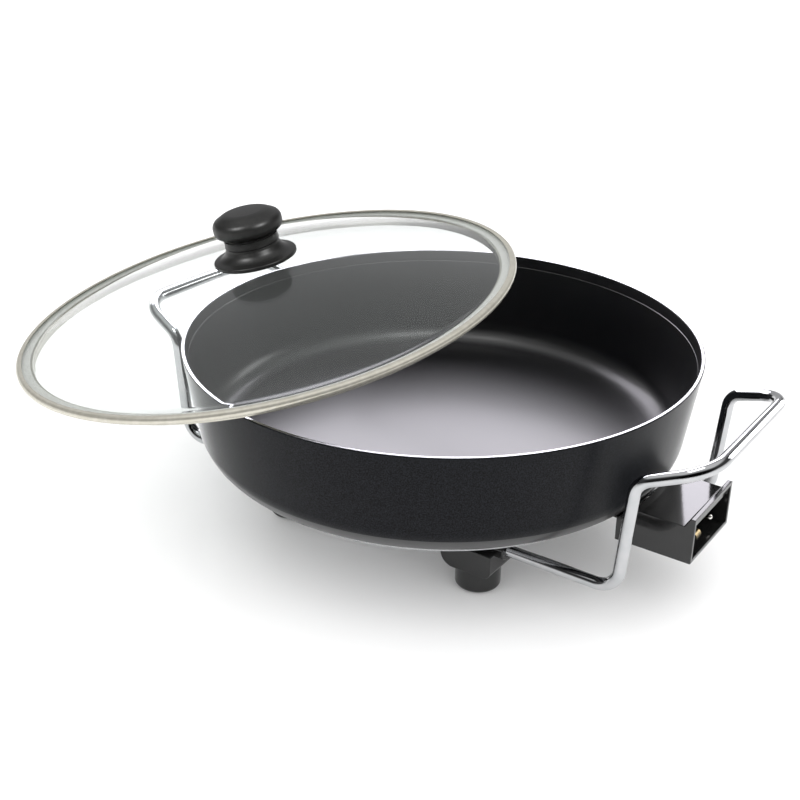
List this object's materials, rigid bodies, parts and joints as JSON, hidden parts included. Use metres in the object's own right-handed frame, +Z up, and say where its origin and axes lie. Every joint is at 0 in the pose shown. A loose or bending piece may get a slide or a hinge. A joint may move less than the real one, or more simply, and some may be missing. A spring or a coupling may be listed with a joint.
{
  "type": "electric skillet",
  "caption": "Round electric skillet with a deep coated pan, bent wire handles, black feet, a socket housing for a removable thermostat plug and a loose domed glass lid leaning on the rim.",
  "frame": {"origin": "on the table under the pan's axis, in the plane that the four pads stand on", "axes": "+X along the handle axis towards the socket, +Z up along the pan's axis"},
  "size_m": [0.5947, 0.4447, 0.2366],
  "materials": {
    "pan_coating": "satin non-stick coating with a bare bright edge",
    "element_sheath": "heat-dulled sheath",
    "plated_steel": "zinc-plated",
    "terminal_metal": "nickel-plated",
    "contact_brass": "plain",
    "ceramic": "unglazed steatite",
    "housing_plastic": "polished phenolic",
    "black_steel": "black satin",
    "foot_plastic": "moulded phenolic",
    "pad_rubber": "matt",
    "handle_chrome": "mirror",
    "lid_glass": "clear, faintly green at the edge",
    "band_steel": "satin stainless",
    "seal_rubber": "translucent silicone",
    "knob_plastic": "satin phenolic"
  },
  "bodies": {
    "base": {"pan": "pan_coating", "heating_element": "element_sheath", "element_clips": "plated_steel", "element_clip_screws": "plated_steel", "terminal_pin_front": "terminal_metal", "terminal_pin_back": "terminal_metal", "pin_insulators": "ceramic", "terminal_block": "ceramic", "probe_sleeve": "plated_steel", "earth_contact": "contact_brass", "socket_housing": "housing_plastic", "housing_bracket": "black_steel", "housing_screws": "plated_steel", "bracket_screws": "plated_steel", "foot_right_front": "foot_plastic", "foot_right_back": "foot_plastic", "foot_left_front": "foot_plastic", "foot_left_back": "foot_plastic", "foot_pads": "pad_rubber", "foot_screws": "plated_steel", "handle_right": "handle_chrome", "handle_left": "handle_chrome"},
    "lid": {"lid_glass": "lid_glass", "lid_band": "band_steel", "band_bead": "seal_rubber", "knob_cap": "knob_plastic", "knob_collar": "knob_plastic", "knob_base": "knob_plastic", "knob_insert": "contact_brass", "knob_screw": "plated_steel", "knob_washer": "plated_steel", "knob_gaskets": "seal_rubber"}
  },
  "joints": [
    {"name": "lid_lift", "type": "slide", "parent": "base", "child": "lid", "axis": [0, 0, 1], "range_m": [0, 0.15]}
  ]
}
